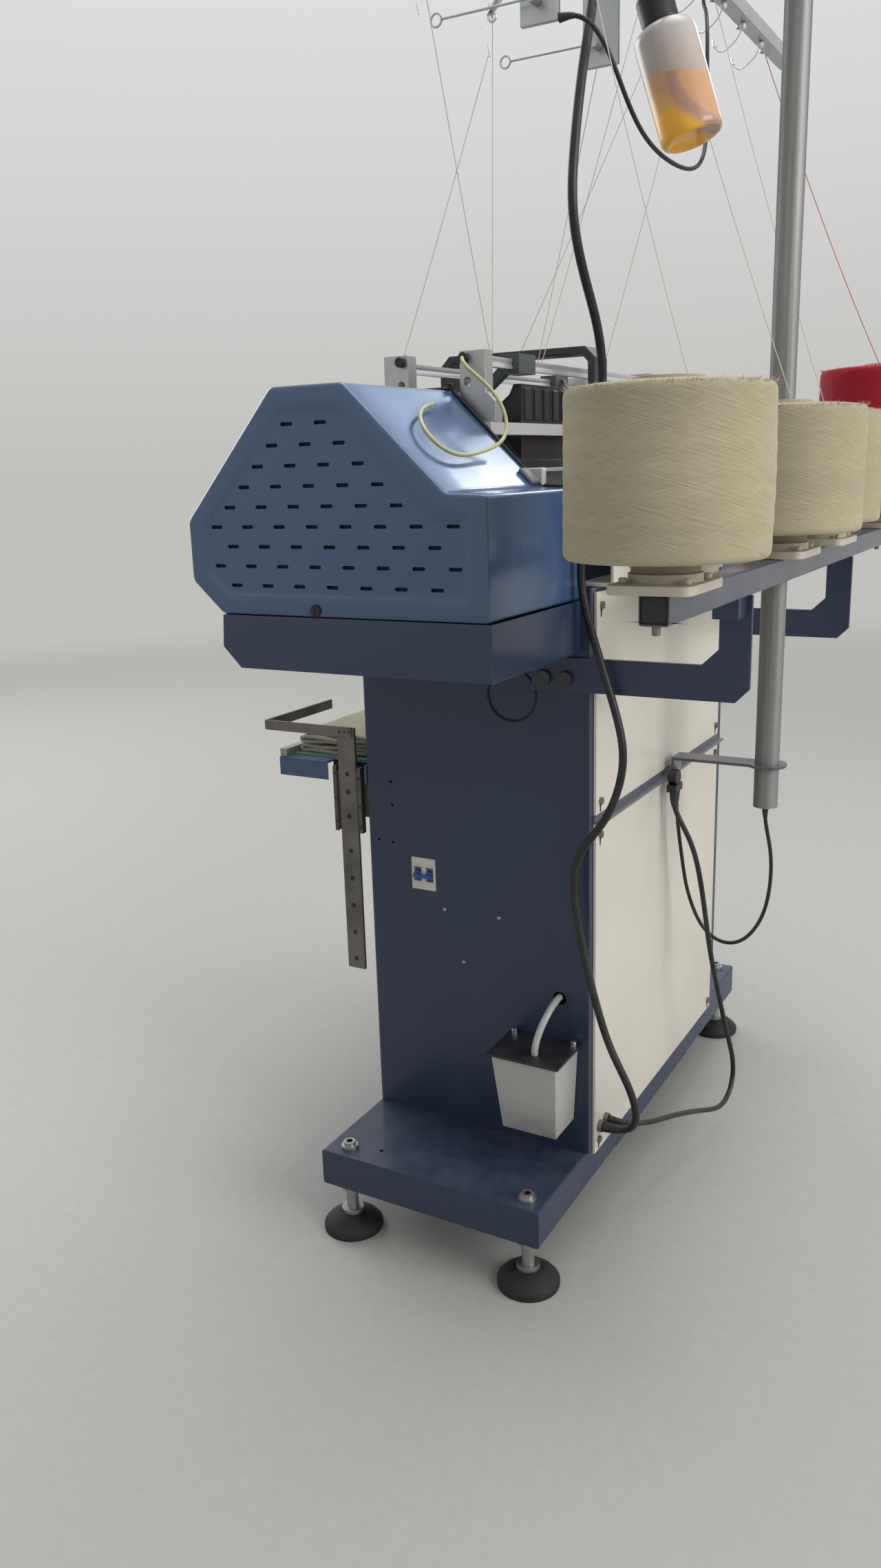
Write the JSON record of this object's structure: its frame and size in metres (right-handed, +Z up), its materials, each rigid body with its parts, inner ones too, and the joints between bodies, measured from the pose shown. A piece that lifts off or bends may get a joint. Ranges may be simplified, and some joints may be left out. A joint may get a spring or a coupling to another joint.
{
  "type": "flat knitting machine",
  "caption": "Small flat-bed knitting machine with a carriage on guide rods, perforated end covers, a rear yarn table with wound packages and a yarn guide pole.",
  "frame": {"origin": "centre of the machine's footprint on the floor, at the middle of its outline in plan", "axes": "+X along the needle bed towards the end with the breaker, +Y towards the yarn table, +Z up"},
  "size_m": [1.218, 0.765, 1.62],
  "materials": {
    "blue_paint": "gloss",
    "cover_blue": "gloss",
    "dark_blue_paint": "satin",
    "cream_paint": "satin",
    "dark_plate": "satin",
    "steel": "satin",
    "chrome_steel": "polished",
    "aluminium_block": "satin",
    "black_rubber": "matte",
    "black_plastic": "matte",
    "green_plastic": "satin",
    "white_plastic": "satin",
    "blue_plastic": "gloss",
    "cream_plastic": "satin",
    "clear_plastic": "frosted",
    "oil_plastic": "frosted",
    "tube_plastic": "clear",
    "cream_yarn": "soft",
    "red_yarn": "soft",
    "cloth": "soft",
    "stainless": "polished"
  },
  "bodies": {
    "machine": {"base_frame": "blue_paint", "leveling_pads": "black_rubber", "leveling_studs": "chrome_steel", "column_near": "blue_paint", "column_far": "blue_paint", "back_tie": "blue_paint", "upper_back_panel": "cream_paint", "lower_back_panel": "cream_paint", "panel_fittings": "steel", "back_hood": "cream_paint", "front_panel": "blue_paint", "bed_beam": "dark_blue_paint", "end_plates": "dark_plate", "needle_beds": "steel", "needles": "chrome_steel", "guide_rails": "chrome_steel", "feeder_brackets": "aluminium_block", "feeder_rails": "chrome_steel", "drive_motor": "dark_plate", "drive_belt": "black_rubber", "tray_near": "blue_paint", "tray_far": "blue_paint", "cover_near": "cover_blue", "cover_far": "cover_blue", "breaker": "white_plastic", "waste_box": "clear_plastic", "waste_lid": "black_plastic", "table_arms": "blue_paint", "table_tube": "dark_blue_paint", "cone_holders": "cream_plastic", "yarn_package_1": "cream_yarn", "yarn_package_2": "cream_yarn", "yarn_package_3": "cream_yarn", "yarn_package_red": "red_yarn", "pole": "stainless", "pole_clamps": "dark_blue_paint", "top_bar": "steel", "oil_bottle": "oil_plastic", "front_tray": "blue_paint", "fabric_pile": "cloth", "slide_guide": "steel", "main_cable": "black_rubber", "panel_cable": "black_rubber", "pole_lead": "black_rubber", "bottle_hose": "black_rubber", "oil_tube": "tube_plastic", "waste_tube": "clear_plastic"},
    "carriage": {"carriage_body": "dark_plate", "carriage_bridge": "aluminium_block"},
    "rear_feeder": {"yarn_feeder_rear": "green_plastic"},
    "front_feeder": {"yarn_feeder_front": "green_plastic"},
    "drive_wheel": {"drive_pulley": "steel"},
    "idler_wheel": {"idler_pulley": "steel"},
    "lock": {"cover_lock": "steel"},
    "toggle": {"breaker_toggle": "blue_plastic"},
    "takeup_1": {"takeup_arm_1": "steel"},
    "takeup_2": {"takeup_arm_2": "steel"},
    "press_slide": {"press_frame": "steel"},
    "pull_roll": {"pull_roller": "black_rubber"},
    "press_roll": {"press_roller": "black_rubber"}
  },
  "joints": [
    {"name": "carriage_travel", "type": "slide", "parent": "machine", "child": "carriage", "axis": [1, 0, 0], "range_m": [-0.24, 0.09]},
    {"name": "rear_feeder_travel", "type": "slide", "parent": "machine", "child": "rear_feeder", "axis": [1, 0, 0], "range_m": [-0.42, 0.055]},
    {"name": "front_feeder_travel", "type": "slide", "parent": "machine", "child": "front_feeder", "axis": [1, 0, 0], "range_m": [-0.035, 0.44]},
    {"name": "drive_pulley_spin", "type": "hinge", "parent": "machine", "child": "drive_wheel", "pos_m": [0.37, 0.039, 0.905], "axis": [0, 1, 0], "range_deg": [-620, 250]},
    {"name": "idler_pulley_spin", "type": "hinge", "parent": "machine", "child": "idler_wheel", "pos_m": [-0.41, 0.039, 0.905], "axis": [0, 1, 0], "range_deg": [-620, 250]},
    {"name": "cover_lock_turn", "type": "hinge", "parent": "machine", "child": "lock", "pos_m": [0.495, -0.1185, 0.853], "axis": [1, 0, 0], "range_deg": [0, 90]},
    {"name": "breaker_switch", "type": "hinge", "parent": "machine", "child": "toggle", "pos_m": [0.262, -0.13, 0.475], "axis": [0, 1, 0], "range_deg": [-30, 0]},
    {"name": "takeup_arm_1_swing", "type": "hinge", "parent": "machine", "child": "takeup_1", "pos_m": [0.392, 0.1, 1.43], "axis": [1, 0, 0], "range_deg": [-40, 50], "stiffness_Nm_per_rad": 0.1},
    {"name": "takeup_arm_2_swing", "type": "hinge", "parent": "machine", "child": "takeup_2", "pos_m": [0.237, 0.1, 1.43], "axis": [1, 0, 0], "range_deg": [-40, 50], "stiffness_Nm_per_rad": 0.1},
    {"name": "press_frame_lift", "type": "slide", "parent": "machine", "child": "press_slide", "axis": [0, 0, 1], "range_m": [0, 0.12]},
    {"name": "pull_roller_spin", "type": "hinge", "parent": "machine", "child": "pull_roll", "pos_m": [0, -0.0955, 0.72], "axis": [1, 0, 0], "continuous": true},
    {"name": "press_roller_spin", "type": "hinge", "parent": "machine", "child": "press_roll", "pos_m": [0, -0.1405, 0.72], "axis": [1, 0, 0], "continuous": true}
  ],
  "couplings": [
    {"joint": "idler_pulley_spin", "follows": "carriage_travel", "rad_per_m": 43.478},
    {"joint": "drive_pulley_spin", "follows": "carriage_travel", "rad_per_m": 43.478},
    {"joint": "press_roller_spin", "follows": "pull_roller_spin", "ratio": -1}
  ]
}
